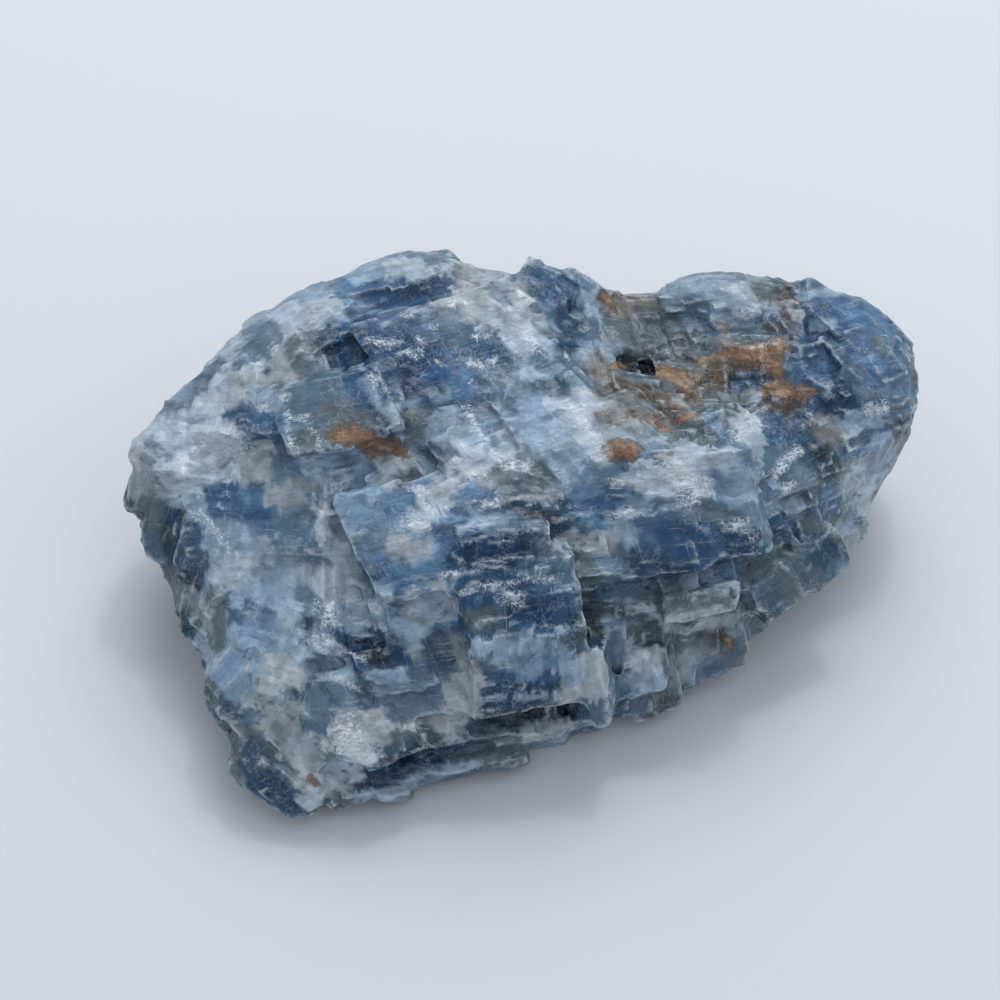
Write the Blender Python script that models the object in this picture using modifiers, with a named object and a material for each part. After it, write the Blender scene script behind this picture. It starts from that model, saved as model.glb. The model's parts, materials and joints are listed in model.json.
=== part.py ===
"""Raw blue calcite: one broken chunk of cleavage blocks, resting on its flat underside.

The chunk is one solid. It starts as a loft through ribs that run across its length. Blocks
of calcite's own cleavage shape, a leaning rhomb, are joined to it and cut from it, and
rounded lumps and hollows are added where the stone is worn. The surface is then stepped
along the cleavage planes of the crystals that the chunk is grown from.

The long side runs along X, the open flank with the stairs faces -Y, and Z is up. The origin
is on the resting face, under the middle of the chunk.
"""

import math

import bmesh
import bpy
import numpy as np
from mathutils import Euler, Matrix, Vector, noise
from mathutils.kdtree import KDTree

MM = 0.001
CLEAVAGE_ANGLE = math.radians(101.9)
SAMPLE_PITCH = 1.6 * MM
MESH_PITCH = 0.7 * MM
MOST_TRIANGLES = 9600
REST_TRIM = 0.4 * MM

# Each rib is a section at one X: (Y, Z) in millimetres, from the foot of the front, up and
# over the top, to the foot of the back.
RIBS = [
    (-54.5, [(4, 13), (3, 15), (2.5, 17), (3.5, 21), (5, 23),
        (8, 25.5), (10, 26.5), (12, 25), (13, 20), (9, 14)]),
    (-50.0, [(-1.5, 8), (-6, 12), (-4, 16), (2.5, 22), (6, 24.5),
        (9, 26.5), (12, 28), (17, 28), (20, 19), (14, 9)]),
    (-45.0, [(-11, 4), (-15, 10), (-13, 14.5), (-8, 20), (0, 23.5),
        (6, 25.5), (13, 28.5), (22, 29), (26, 18), (18, 5)]),
    (-39.0, [(-28, 0), (-33, 5), (-31.5, 8), (-29, 11), (-19.5, 17),
        (-5.5, 22.5), (8.5, 28.5), (27, 31.5), (33, 18), (27, 0)]),
    (-31.0, [(-33, 0), (-36.5, 3), (-36, 6), (-33, 10.5), (-18, 18.5),
        (-2, 26), (12, 31.5), (31, 34.5), (35, 20), (31, 0)]),
    (-17.0, [(-30, 0), (-33.5, 3), (-32.5, 7), (-29, 12), (-20, 22),
        (-3, 30), (12, 35), (34.5, 38), (38, 22), (33, 0)]),
    (-2.0, [(-24, 0), (-26.5, 3), (-25.5, 9), (-22, 14), (-18, 23),
        (-8, 31.5), (10, 36), (31, 38), (36, 22), (32, 0)]),
    (11.0, [(-17, 0), (-21, 3), (-19, 10), (-16, 17), (-12.5, 26),
        (0, 34.5), (14, 33.5), (30, 35), (35, 20), (31, 0)]),
    (25.0, [(-8, 0), (-12, 5), (-12, 13), (-10, 22), (-5, 29.5),
        (2, 33.5), (17, 31.5), (32, 36.5), (36, 21), (31, 2)]),
    (38.0, [(0, 3), (-4, 6.5), (-3.5, 13), (-1, 20), (2, 25.5),
        (7, 29.5), (14, 32), (33.5, 34), (37, 21), (31, 4)]),
    (48.0, [(12, 7), (8, 10), (9, 14), (11, 19), (13.5, 24.5),
        (18, 28.5), (24, 31), (32.5, 31), (35, 20), (29, 10)]),
    (54.5, [(22, 12), (19.5, 14), (20, 16), (21, 19), (22.5, 23),
        (25.5, 25.5), (27.5, 26), (29.5, 24), (29, 18), (25.5, 13)]),
]

# The crystals that the chunk is grown from. "heart" is where each lies, in millimetres, and
# "turn" how its lattice is turned about X, Y and Z, in degrees. A block stands proud and a
# notch is cut away: the middle of its top face, then its length, width and depth.
CRYSTALS = {
    "left_shoulder": {
        "heart": (-45, 14, 27), "calm": 0.3, "turn": (10, -30, -24),
        "blocks": [((-46, 13, 27.6), (12, 9, 6)), ((-50, 9, 25), (7, 7, 6))],
    },
    "pale_blades": {
        "heart": (-35, 24, 32), "turn": (-12, -26, 24),
        "blocks": [
            ((-36, 23, 32.8), (5, 15, 6)),
            ((-30, 25, 34.8), (5, 15, 7)),
            ((-41.5, 21, 30), (4, 9, 6)),
        ],
    },
    "slab": {
        "heart": (-27, 8, 34), "calm": 0.85, "turn": (6, -14, 4),
        "blocks": [((-26.5, 7.5, 35), (17, 13, 8)), ((-36, 10.5, 31.8), (8, 8, 6))],
        "notches": [((-20, 8.6, 42.4), (1.5, 15, 8.4))],
    },
    "dark_face": {
        "heart": (-11, 15, 36), "calm": 0.85, "turn": (15, -4, 18),
        "blocks": [((-12, 14.6, 36.8), (17, 19, 7)), ((-1.5, 8, 35.6), (6, 9, 5))],
    },
    "back_ridge": {
        "heart": (-19, 34, 33), "turn": (-24, -8, 12),
        "blocks": [((-26, 32.5, 34), (12, 6, 8)), ((-16, 33.8, 36.2), (11, 5, 8))],
    },
    "upper_lump": {
        "heart": (4, 26, 36), "turn": (14, 14, -28),
        "blocks": [((1.5, 26, 38.2), (8, 10, 9)), ((6.5, 26.5, 37.6), (6, 8, 9))],
    },
    "white_blade": {
        "heart": (0, 19, 36), "turn": (10, 4, 31),
        "blocks": [((-2, 21, 38.6), (3.4, 13, 5)), ((2.6, 16.5, 36.4), (4, 7, 5))],
    },
    "groove_wall": {
        "heart": (10, 20, 34), "turn": (6, 22, 8),
        "blocks": [((11, 20.5, 35), (3.5, 11, 5))],
        "notches": [((8.6, 20.5, 44), (2.4, 14, 9.4))],
    },
    "crest": {
        "heart": (8, 7, 35), "turn": (10, 4, 28),
        "blocks": [((8.5, 8, 35.8), (3.2, 13, 4)), ((2, 3.5, 35.6), (8, 8, 5)), ((13, 8, 35), (7, 5, 4))],
    },
    "saddle": {
        "heart": (22, 24, 33), "calm": 0.8, "turn": (4, 2, 6),
        "notches": [((14.5, 31.5, 40), (6, 9, 7))],
    },
    "iron_band": {
        "heart": (26, 17, 32), "turn": (18, -10, -14),
        "blocks": [
            ((35, 19, 33.6), (6, 5, 4)),
            ((38.5, 14, 32.6), (6, 3, 3.5)),
            ((29, 19, 33.5), (5, 4, 4)),
        ],
        "notches": [((21, 16.5, 36), (11, 4, 4.2)), ((31, 15.5, 35), (5, 3, 3))],
    },
    "right_lobe": {"heart": (47, 22, 27), "calm": 0.5, "turn": (14, 18, 35)},
    "lobe_edge": {"heart": (54, 18, 15), "calm": 0.7, "turn": (-6, 24, 48)},
    "centre_plate": {
        "heart": (-17, -11, 29), "calm": 0.7, "turn": (20, -8, 10),
        "blocks": [((-16, -10.5, 29.8), (16, 17, 5)), ((-8, -7, 32), (9, 7, 5))],
        "notches": [((-24.5, -20.5, 25), (4, 12, 6.4))],
    },
    "grey_terrace": {
        "heart": (-16, 0, 32), "turn": (10, -3, 26),
        "blocks": [((-9, 1.5, 34.8), (7, 6, 5))],
        "notches": [((-20, -0.4, 38), (10, 2.4, 6))],
    },
    "stair": {
        "heart": (-1, -17, 26), "calm": 0.8, "turn": (16, 3, 190),
        "blocks": [
            ((-4, -9.8, 31.8), (13, 5, 5)),
            ((-3, -13.4, 29.6), (17, 5, 4)),
            ((1.6, -16.6, 27), (11, 4, 4)),
            ((-6.4, -17.4, 26), (6, 5, 4)),
            ((-0.4, -20, 23.6), (16, 6, 12)),
        ],
        "notches": [((1.5, -25.8, 11.6), (15, 5, 2.6))],
    },
    "stair_side": {
        "heart": (9, -21, 16), "turn": (22, 30, 172),
        "blocks": [((8.6, -20, 19), (4, 7, 11))],
    },
    "hollow": {
        "heart": (12, -16, 20), "turn": (10, 8, 14),
        "blocks": [((12.5, -14, 21), (5, 5, 6))],
    },
    "right_plate": {
        "heart": (23, -8, 28), "calm": 0.7, "turn": (44, 0, 6),
        "blocks": [
            ((25.8, -8.4, 28.6), (12, 9, 6)),
            ((18, -10.6, 28.2), (10, 9, 6)),
            ((22, -2, 33.4), (18, 5, 4)),
        ],
    },
    "scallop": {
        "heart": (22, -13, 16), "turn": (48, 10, 186),
        "blocks": [((23, -12, 21.5), (11, 4, 5)), ((15.5, -16, 13), (7, 5, 7))],
    },
    "right_slope": {
        "heart": (34, 4, 27), "turn": (26, 14, 40),
        "blocks": [((35, 3, 28.6), (8, 8, 6)), ((28, 6, 33.2), (8, 7, 4)), ((40, 9, 28.6), (7, 6, 5))],
    },
    "right_flank": {
        "heart": (38, -1, 14), "turn": (24, 20, 215),
        "blocks": [((38, -1, 18.5), (8, 6, 7)), ((31.5, -6, 17.5), (7, 5, 7))],
    },
    "low_flank": {
        "heart": (25, -11, 7), "turn": (14, 8, 202),
        "blocks": [((25, -11, 9), (10, 4, 6)), ((16.5, -16.4, 7.6), (8, 5, 6))],
    },
    "front_lobe": {
        "heart": (-33, -21, 17), "turn": (30, -14, -30),
        "blocks": [
            ((-31, -17.5, 20.4), (11, 8, 5)),
            ((-28, -27, 14.4), (8, 7, 5)),
            ((-36, -22, 16), (6, 8, 5)),
        ],
    },
    "front_middle": {
        "heart": (-15, -25, 16), "turn": (36, -6, 8),
        "blocks": [((-18.5, -24.5, 18.4), (9, 7, 6)), ((-10.5, -25, 16.4), (6, 8, 7))],
    },
    "front_corner": {
        "heart": (-36, -31, 7), "turn": (14, -30, 150),
        "blocks": [((-32.5, -31, 9.6), (8, 6, 7))],
    },
    "front_shelf": {
        "heart": (-8, -30, 6), "turn": (8, 2, 12),
        "blocks": [
            ((-16, -30.4, 11.4), (16, 5, 4)),
            ((-13, -31.2, 6), (26, 3.6, 4)),
            ((3, -24.2, 8.6), (12, 5, 7)),
        ],
        "notches": [((-16, -34.2, 9.8), (25, 6, 3.8))],
    },
    "blue_streaks": {
        "heart": (-35, -4, 24), "calm": 0.8, "turn": (24, -22, -20),
        "blocks": [((-34, -3, 26), (13, 13, 5)), ((-41, -4, 22.4), (8, 9, 5))],
    },
    "left_wall": {
        "heart": (-50, -2, 16), "calm": 0.5, "turn": (4, -44, 66),
        "blocks": [((-50.5, 0, 20), (8, 6, 6)), ((-45, -11, 15), (8, 6, 5))],
    },
    "left_foot": {
        "heart": (-42, -22, 10), "turn": (20, -34, 40),
        "blocks": [((-38.6, -21.6, 11.5), (7, 6, 6))],
    },
    "back_left": {
        "heart": (-36, 32, 16), "turn": (-20, -12, 30),
        "blocks": [((-38, 29, 23), (12, 7, 12))],
    },
    "back_middle": {
        "heart": (-6, 36, 18), "turn": (-16, 4, -8),
        "blocks": [((-6, 34.5, 28), (16, 6, 14))],
    },
    "back_right": {
        "heart": (22, 34, 18), "turn": (-22, 10, 12),
        "blocks": [((20, 32, 25), (15, 6, 13))],
    },
    "back_end": {
        "heart": (42, 30, 18), "turn": (-14, 20, -20),
        "blocks": [((40, 30.5, 23), (10, 6, 9))],
    },
    "underside": {"heart": (0, 4, -6), "turn": (0, 0, 16)},
}

# Worn, rounded places, in millimetres: the middle and the three half sizes of an ellipsoid.
LUMPS = {
    "right_lobe": ((44.4, 22, 22), (10.4, 11.5, 10.8)),
    "back_cap": ((27, 30, 32), (10, 4.5, 5)),
    "front_bulge": ((-34, -21, 12), (8.5, 8, 6.5)),
    "crumbly_lip": ((-23, -29.8, 11), (7, 4.5, 4)),
}
HOLLOWS = {
    "smoky_saddle": ((21, 23.5, 45.4), (10, 7, 14)),
    "iron_hole": ((15.4, 17.6, 32.4), (3.4, 1.8, 3.4)),
    "dark_hollow": ((11.6, -17.2, 22.6), (2, 3.4, 4.4)),
    "scallop_hollow": ((15.6, -15.4, 21.6), (1.6, 2.6, 2.6)),
    "lobe_pit": ((41.7, 18.3, 32.5), (3, 2.4, 2.8)),
    "sparkle_pit": ((-14.4, -2.2, 32), (3, 1.8, 3.2)),
}
GRAIN = ((13.1, 0.4, 34.8), (2.5, 1.7, 1.6))

# Cleavage chips that step the whole surface, in millimetres: how far apart they lie, how long
# they are, and how far they stand above the core. A chip reaches below its face by a share of
# its length and width together and a fixed depth.
CHIP_SPACING = 3.4
CHIP_LENGTH = (2.6, 8.5)
CHIP_LIFT = (-0.9, 0.9)
CHIP_SHRINK = (0.6, 1)
CHIP_DEPTH = (0.6, 2)
TILT_SINK = 0.32
FIXED_SEED = 16

# How far the borders of the crystals wander, in millimetres, and how long the waves are.
CRYSTAL_WANDER = 4.0
WANDER_WAVE = 9.0

# The block of ground that levels the resting face, in metres.
GROUND_SIZE = (0.2, 0.2, 0.02)
BALL_SUBDIVISIONS = 3

CLOUDY_BLUE = (0.22, 0.32, 0.46, 1)
GLASSY_ROUGHNESS = 0.35


def clear_scene():
    for obj in list(bpy.data.objects):
        bpy.data.objects.remove(obj, do_unlink=True)


def new_collection(name):
    collection = bpy.data.collections.new(name)
    bpy.context.scene.collection.children.link(collection)
    return collection


def add_loft(shape):
    """The loft through the ribs, closed at its two ends."""
    loops = []
    for x, section in RIBS:
        points = [shape.verts.new(Vector((x, y, z)) * MM) for y, z in section]
        loops.append([shape.edges.new((a, b)) for a, b in zip(points, points[1:] + points[:1])])
    for near, far in zip(loops, loops[1:]):
        bmesh.ops.bridge_loops(shape, edges=near + far)
    bmesh.ops.holes_fill(shape, edges=loops[0] + loops[-1])
    bmesh.ops.triangulate(shape, faces=shape.faces[:])
    bmesh.ops.recalc_face_normals(shape, faces=shape.faces[:])


def lattice(turn):
    """The three edge directions of a cleavage rhomb, as columns, for a crystal turned so."""
    cosine = math.cos(CLEAVAGE_ANGLE)
    sine = math.sin(CLEAVAGE_ANGLE)
    lean = (cosine - cosine * cosine) / sine
    edges = Matrix(((1, cosine, cosine), (0, sine, lean), (0, 0, math.sqrt(1 - cosine**2 - lean**2))))
    return Euler([math.radians(angle) for angle in turn]).to_matrix() @ edges


def helper(name, shape, collection):
    """A closed shape that only joins or cuts, so it isn't a part of its own."""
    mesh = bpy.data.meshes.new(name)
    shape.to_mesh(mesh)
    shape.free()
    obj = bpy.data.objects.new(name, mesh)
    obj.hide_render = True
    obj.display_type = "WIRE"
    collection.objects.link(obj)
    return obj


def add_rhomb(shape, top, size, edges):
    """Adds a cleavage rhomb, hung from the middle of the face across its third edge."""
    made = bmesh.ops.create_cube(shape, size=1)["verts"]
    bmesh.ops.translate(shape, verts=made, vec=(0, 0, -0.5))
    place = Matrix.Translation(top) @ (edges @ Matrix.Diagonal(size)).to_4x4()
    bmesh.ops.transform(shape, matrix=place, verts=made)


def add_ellipsoid(shape, middle, half_sizes):
    made = bmesh.ops.create_icosphere(shape, subdivisions=BALL_SUBDIVISIONS, radius=1)["verts"]
    place = Matrix.Translation(Vector(middle) * MM) @ Matrix.Diagonal(Vector(half_sizes) * MM).to_4x4()
    bmesh.ops.transform(shape, matrix=place, verts=made)


def add_named(shape, kind, rounded):
    """Adds the named blocks or notches, and the lumps or hollows that go with them."""
    for crystal in CRYSTALS.values():
        edges = lattice(crystal["turn"])
        for top, size in crystal.get(kind, ()):
            add_rhomb(shape, Vector(top) * MM, Vector(size) * MM, edges)
    for middle, half_sizes in rounded:
        add_ellipsoid(shape, middle, half_sizes)


def facing_edges(edges, facing):
    """The lattice edges in an order and sense that puts a cleavage face across the surface."""
    best = None
    for turn in range(3):
        first, second, third = [edges.col[(turn + k) % 3] for k in range(3)]
        across = first.cross(second).normalized()
        for sense in (1, -1):
            match = sense * across.dot(facing)
            if best is None or match > best[0]:
                best = (match, first, second, third * sense, across * sense)
    outward = Matrix((best[1], best[2], best[3])).transposed()
    if outward.determinant() < 0:
        outward = Matrix((best[2], best[1], best[3])).transposed()
    return outward, best[4]


def spread(points, spacing, generator):
    """Picks points in a random order that keep at least the spacing between them."""
    tree = KDTree(len(points))
    for index, point in enumerate(points):
        tree.insert(point, index)
    tree.balance()
    taken = set()
    picked = []
    for index in generator.permutation(len(points)):
        if index not in taken:
            picked.append(int(index))
            taken.update(near for _, near, _ in tree.find_range(points[index], spacing))
    return picked


def add_chips(shape, points, facing, owners, spacing, length, lift, generator):
    """Adds seeded rhombs along the surface, each in the lattice of its own crystal."""
    crystals = list(CRYSTALS.values())
    for index in spread(points, spacing * MM, generator):
        crystal = crystals[owners[index]]
        long = generator.uniform(*length) * generator.uniform(*CHIP_SHRINK)
        wide = generator.uniform(*length) * generator.uniform(*CHIP_SHRINK)
        rise = generator.uniform(*lift)
        if generator.random() < crystal.get("calm", 0):
            continue
        edges, across = facing_edges(lattice(crystal["turn"]), facing[index])
        deep = CHIP_DEPTH[0] * (long + wide) + CHIP_DEPTH[1]
        rise -= TILT_SINK * max(long, wide) * across.cross(facing[index]).length
        add_rhomb(shape, points[index] + across * rise * MM, Vector((long, wide, deep)) * MM, edges)


def remesh(obj, pitch):
    modifier = obj.modifiers.new("even mesh", "REMESH")
    modifier.mode = "VOXEL"
    modifier.voxel_size = pitch


def evaluated_mesh(obj):
    graph = bpy.context.evaluated_depsgraph_get()
    return bpy.data.meshes.new_from_object(obj.evaluated_get(graph))


def crystal_of(point):
    """Which crystal a point of the surface belongs to, with uneven borders."""
    drift = noise.noise_vector(point / (WANDER_WAVE * MM)) * CRYSTAL_WANDER
    distances = [(point / MM + drift - Vector(crystal["heart"])).length for crystal in CRYSTALS.values()]
    return distances.index(min(distances))


def surface_of(core):
    """Points spread evenly over the core, the way each faces, and the crystal it lies in."""
    remesh(core, SAMPLE_PITCH)
    mesh = evaluated_mesh(core)
    points = [vertex.co.copy() for vertex in mesh.vertices]
    facing = [vertex.normal.copy() for vertex in mesh.vertices]
    return points, facing, [crystal_of(point) for point in points]


def cut_away(obj, cutter):
    modifier = obj.modifiers.new(cutter.name, "BOOLEAN")
    modifier.operation = "DIFFERENCE"
    modifier.object = cutter
    modifier.solver = "EXACT"
    modifier.use_self = True


def ground_below(collection):
    """A block under the plane that the stone rests on."""
    shape = bmesh.new()
    bmesh.ops.create_cube(shape, size=1)
    bmesh.ops.translate(shape, verts=shape.verts, vec=(0, 0, -0.5))
    bmesh.ops.scale(shape, verts=shape.verts, vec=GROUND_SIZE)
    bmesh.ops.translate(shape, verts=shape.verts, vec=(0, 0, REST_TRIM))
    return helper("ground", shape, collection)


def settle(chunk):
    """Keeps the finished shape, moved so that the origin is under its middle."""
    mesh = evaluated_mesh(chunk)
    chunk.modifiers.clear()
    chunk.data = mesh
    corners = [Vector(corner) for corner in chunk.bound_box]
    lowest = Vector(map(min, zip(*corners)))
    highest = Vector(map(max, zip(*corners)))
    middle = (lowest + highest) / 2
    mesh.transform(Matrix.Translation(-Vector((middle.x, middle.y, lowest.z))))


def calcite_material():
    """Cloudy blue calcite with a glassy lustre on its cleavage faces."""
    material = bpy.data.materials.new("blue_calcite")
    material.use_nodes = True
    shader = material.node_tree.nodes["Principled BSDF"]
    shader.inputs["Base Color"].default_value = CLOUDY_BLUE
    shader.inputs["Roughness"].default_value = GLASSY_ROUGHNESS
    shader.inputs["Metallic"].default_value = 0
    return material


def main():
    clear_scene()
    stone = new_collection("blue_calcite")
    helpers = new_collection("helpers")

    body = bmesh.new()
    add_loft(body)
    for middle, half_sizes in LUMPS.values():
        add_ellipsoid(body, middle, half_sizes)
    points, facing, owners = surface_of(helper("core", body.copy(), helpers))
    generator = np.random.default_rng(FIXED_SEED)
    add_named(body, "blocks", [GRAIN])
    add_chips(body, points, facing, owners, CHIP_SPACING, CHIP_LENGTH, CHIP_LIFT, generator)
    joined = helper("joined", body, helpers)
    remesh(joined, MESH_PITCH)

    taken = bmesh.new()
    add_named(taken, "notches", HOLLOWS.values())
    chunk = bpy.data.objects.new("calcite_chunk", evaluated_mesh(joined))
    stone.objects.link(chunk)
    cut_away(chunk, helper("notches", taken, helpers))
    remesh(chunk, MESH_PITCH)
    thin = chunk.modifiers.new("facets", "DECIMATE")
    thin.ratio = MOST_TRIANGLES / (2 * len(chunk.data.polygons))
    cut_away(chunk, ground_below(helpers))
    settle(chunk)
    chunk.data.name = "calcite_chunk"
    chunk.data.materials.append(calcite_material())


main()
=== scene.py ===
"""The looks of a chunk of raw blue calcite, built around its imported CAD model."""

import json
import math

import bpy
import numpy as np
from mathutils import Euler, Matrix, Vector, noise
from mathutils.bvhtree import BVHTree
from mathutils.kdtree import KDTree

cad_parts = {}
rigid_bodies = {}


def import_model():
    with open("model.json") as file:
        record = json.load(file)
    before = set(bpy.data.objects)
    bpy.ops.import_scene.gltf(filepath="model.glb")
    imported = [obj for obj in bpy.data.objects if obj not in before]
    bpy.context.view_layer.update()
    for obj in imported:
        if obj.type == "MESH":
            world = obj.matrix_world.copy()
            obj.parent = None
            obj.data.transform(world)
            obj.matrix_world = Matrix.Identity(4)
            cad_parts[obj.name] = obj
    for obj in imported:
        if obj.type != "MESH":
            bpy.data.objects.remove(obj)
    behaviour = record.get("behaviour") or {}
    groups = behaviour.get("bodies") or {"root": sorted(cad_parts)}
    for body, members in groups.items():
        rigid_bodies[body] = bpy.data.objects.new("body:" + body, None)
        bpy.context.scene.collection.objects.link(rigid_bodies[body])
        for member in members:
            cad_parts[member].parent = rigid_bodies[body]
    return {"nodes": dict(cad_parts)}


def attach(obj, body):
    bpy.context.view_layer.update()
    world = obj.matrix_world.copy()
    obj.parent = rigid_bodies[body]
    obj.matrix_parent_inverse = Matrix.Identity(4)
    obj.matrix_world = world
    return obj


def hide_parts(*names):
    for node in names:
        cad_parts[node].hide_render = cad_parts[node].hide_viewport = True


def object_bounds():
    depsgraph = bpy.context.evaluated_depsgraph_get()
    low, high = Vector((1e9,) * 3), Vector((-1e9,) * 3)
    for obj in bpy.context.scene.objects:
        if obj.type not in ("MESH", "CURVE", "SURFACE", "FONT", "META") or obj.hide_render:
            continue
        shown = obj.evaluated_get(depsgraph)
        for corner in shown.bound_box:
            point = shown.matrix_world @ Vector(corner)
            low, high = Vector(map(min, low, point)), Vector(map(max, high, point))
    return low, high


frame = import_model()
cad_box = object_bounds()

# The camera
# The chunk is seen from its open flank, 50 degrees above the paper, with a long lens. It is
# made first, because the markings of the stone are laid where it sees them.
MM = 0.001
PHOTO_SIDE = 1000
ELEVATION = math.radians(50)
CAMERA_DISTANCE = 0.42
PIXELS_PER_MM = 7.2
SENSOR = 36
aim = Vector((-3.1, 3.9, 19.6)) * MM
view_back = Vector((0, -math.cos(ELEVATION), math.sin(ELEVATION)))
view_up = Vector((0, math.sin(ELEVATION), math.cos(ELEVATION)))
view_right = Vector((1, 0, 0))
eye = aim + view_back * CAMERA_DISTANCE
camera = bpy.data.objects.new("camera", bpy.data.cameras.new("camera"))
camera.data.sensor_width = SENSOR
camera.data.lens = SENSOR * CAMERA_DISTANCE * PIXELS_PER_MM / (PHOTO_SIDE * MM)
camera.data.clip_start = 0.01
camera.location = eye
camera.rotation_euler = (-view_back).to_track_quat("-Z", "Y").to_euler()
bpy.context.scene.collection.objects.link(camera)
bpy.context.scene.camera = camera

# The shape of the stone
# One broken piece of calcite. Each crystal in it splits along its own three cleavage planes,
# so the CAD solid's surface is broken down to chips and slivers in the same planes.
CLEAVAGE_ANGLE = math.radians(101.9)
# heart in mm, turn in degrees, broken share of its surface, tone of its depth
CRYSTALS = {
    "left_shoulder": ((-45, 14, 27), (10, -30, -24), 0.4, "haze"),
    "pale_blades": ((-35, 24, 32), (-12, -26, 24), 0.6, "haze"),
    "slab": ((-27, 8, 34), (6, -14, 4), 0.1, "slate"),
    "dark_face": ((-11, 15, 36), (15, -4, 18), 0.1, "navy"),
    "back_ridge": ((-19, 34, 33), (-24, -8, 12), 0.6, "blue"),
    "upper_lump": ((4, 26, 36), (14, 14, -28), 0.5, "slate"),
    "white_blade": ((0, 19, 36), (10, 4, 31), 0.4, "bone"),
    "groove_wall": ((10, 20, 34), (6, 22, 8), 0.7, "slate"),
    "crest": ((8, 7, 35), (10, 4, 28), 0.4, "haze"),
    "saddle": ((22, 24, 33), (4, 2, 6), 0.1, "smoke"),
    "iron_band": ((26, 17, 32), (18, -10, -14), 0.9, "moss"),
    "right_lobe": ((47, 22, 27), (14, 18, 35), 0.8, "blue"),
    "lobe_edge": ((54, 18, 15), (-6, 24, 48), 0.7, "dusk"),
    "centre_plate": ((-17, -11, 29), (20, -8, 10), 0.25, "steel"),
    "grey_terrace": ((-16, 0, 32), (10, -3, 26), 0.6, "haze"),
    "stair": ((-1, -17, 26), (16, 3, 190), 0.5, "blue"),
    "stair_side": ((9, -21, 16), (22, 30, 172), 0.4, "slate"),
    "hollow": ((12, -16, 20), (10, 8, 14), 0.9, "moss"),
    "right_plate": ((23, -8, 28), (44, 0, 6), 0.25, "blue"),
    "scallop": ((22, -13, 16), (48, 10, 186), 0.5, "moss"),
    "right_slope": ((34, 4, 27), (26, 14, 40), 0.6, "slate"),
    "right_flank": ((38, -1, 14), (24, 20, 215), 0.6, "slate"),
    "low_flank": ((25, -11, 7), (14, 8, 202), 0.7, "moss"),
    "front_lobe": ((-33, -21, 17), (30, -14, -30), 0.5, "haze"),
    "front_middle": ((-15, -25, 16), (36, -6, 8), 0.7, "slate"),
    "front_corner": ((-36, -31, 7), (14, -30, 150), 0.7, "moss"),
    "front_shelf": ((-8, -30, 6), (8, 2, 12), 0.5, "slate"),
    "blue_streaks": ((-35, -4, 24), (24, -22, -20), 0.3, "blue"),
    "left_wall": ((-50, -2, 16), (4, -44, 66), 0.5, "fern"),
    "left_foot": ((-42, -22, 10), (20, -34, 40), 0.6, "moss"),
    "back_left": ((-36, 32, 16), (-20, -12, 30), 0.5, "slate"),
    "back_middle": ((-6, 36, 18), (-16, 4, -8), 0.5, "blue"),
    "back_right": ((22, 34, 18), (-22, 10, 12), 0.5, "steel"),
    "back_end": ((42, 30, 18), (-14, 20, -20), 0.6, "dusk"),
    "underside": ((0, 4, -6), (0, 0, 16), 0.5, "slate"),
}
MIDDLE = np.array([-0.2, 0.6, 0.4])
# heart in mm, reach and how far the surface comes out there
SWELLS = [
    ((47, 22, 24), 15, 1.2), ((-16, 35, 36), 10, 0.9), ((-55, -1, 24), 8, -1.6), ((-47, -22, 9), 10, 1.1),
]
SAMPLE_PITCH = 0.8 * MM
FINE_PITCH = 0.34 * MM
CHIP_SPACING = 1.5 * MM
# lengths in mm: a chip's two long edges and how far it lifts, a sliver's edges, and a chip's depth;
# on a calm face the chips are broader and lift less
CHIP_LENGTH, CHIP_LIFT = (1, 4.4), (-0.4, 0.3)
SLIVER_LENGTH, SLIVER_WIDTH = (3, 7), (0.6, 1.4)
LEAST_DEPTH, MOST_DEPTH = 0.8, 3.5
SLIVER_SHARE = 0.2
CALM_SIZE, CALM_LIFT = 2, 0.4
# how far the body under the chips is drawn in, and how high above the foot that begins
CORE_SHRINK, FOOT = 0.35, 1.2
# a chip sinks by this share of its highest corner, which may then stand out this far, while its
# inner corners lie this deep; otherwise it is made smaller and tried again
TILT_SINK, MOST_STANDING, LEAST_SUNK = 0.75, 0.55, -0.3
TRIES = 4
NORMAL_STEPS, POINT_STEPS = 5, 7
FACET_SPREAD = 0.24
FIXED_SEED = 24


def lattice(turn):
    """The three edge directions of a cleavage rhomb, as columns, for a crystal turned so."""
    cosine = math.cos(CLEAVAGE_ANGLE)
    sine = math.sin(CLEAVAGE_ANGLE)
    lean = (cosine - cosine * cosine) / sine
    edges = Matrix(((1, cosine, cosine), (0, sine, lean), (0, 0, math.sqrt(1 - cosine**2 - lean**2))))
    return np.array(Euler([math.radians(angle) for angle in turn]).to_matrix() @ edges)


def noise_at(points, size, seed):
    """Smooth noise at each point, from about -1 to 1, with waves of the given size."""
    shift = Vector((seed * 17.3, seed * 5.1, seed * 9.7))
    return np.array([noise.noise(Vector(point) + shift) for point in points / size])


def drift_at(points, size, seed):
    return np.stack([noise_at(points, size, seed + step) for step in range(3)], axis=1)


def crystal_of(points):
    """Which crystal each point of the surface belongs to, with uneven borders."""
    hearts = (np.array([heart for heart, *_ in CRYSTALS.values()]) - MIDDLE) * MM
    moved = points + drift_at(points, 9 * MM, 1) * 4 * MM
    distance = np.linalg.norm(moved[:, None, :] - hearts[None, :, :], axis=2)
    return distance.argmin(axis=1)


def vectors(values, kind):
    numbers = np.empty(len(values) * 3, np.float32)
    values.foreach_get(kind, numbers)
    return numbers.reshape(-1, 3).astype(float)


def tree_of(points):
    tree = KDTree(len(points))
    for index, point in enumerate(points):
        tree.insert(point, index)
    tree.balance()
    return tree


def only(piece):
    """Selects one object and nothing else."""
    bpy.ops.object.select_all(action="DESELECT")
    piece.select_set(True)
    bpy.context.view_layer.objects.active = piece


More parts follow.
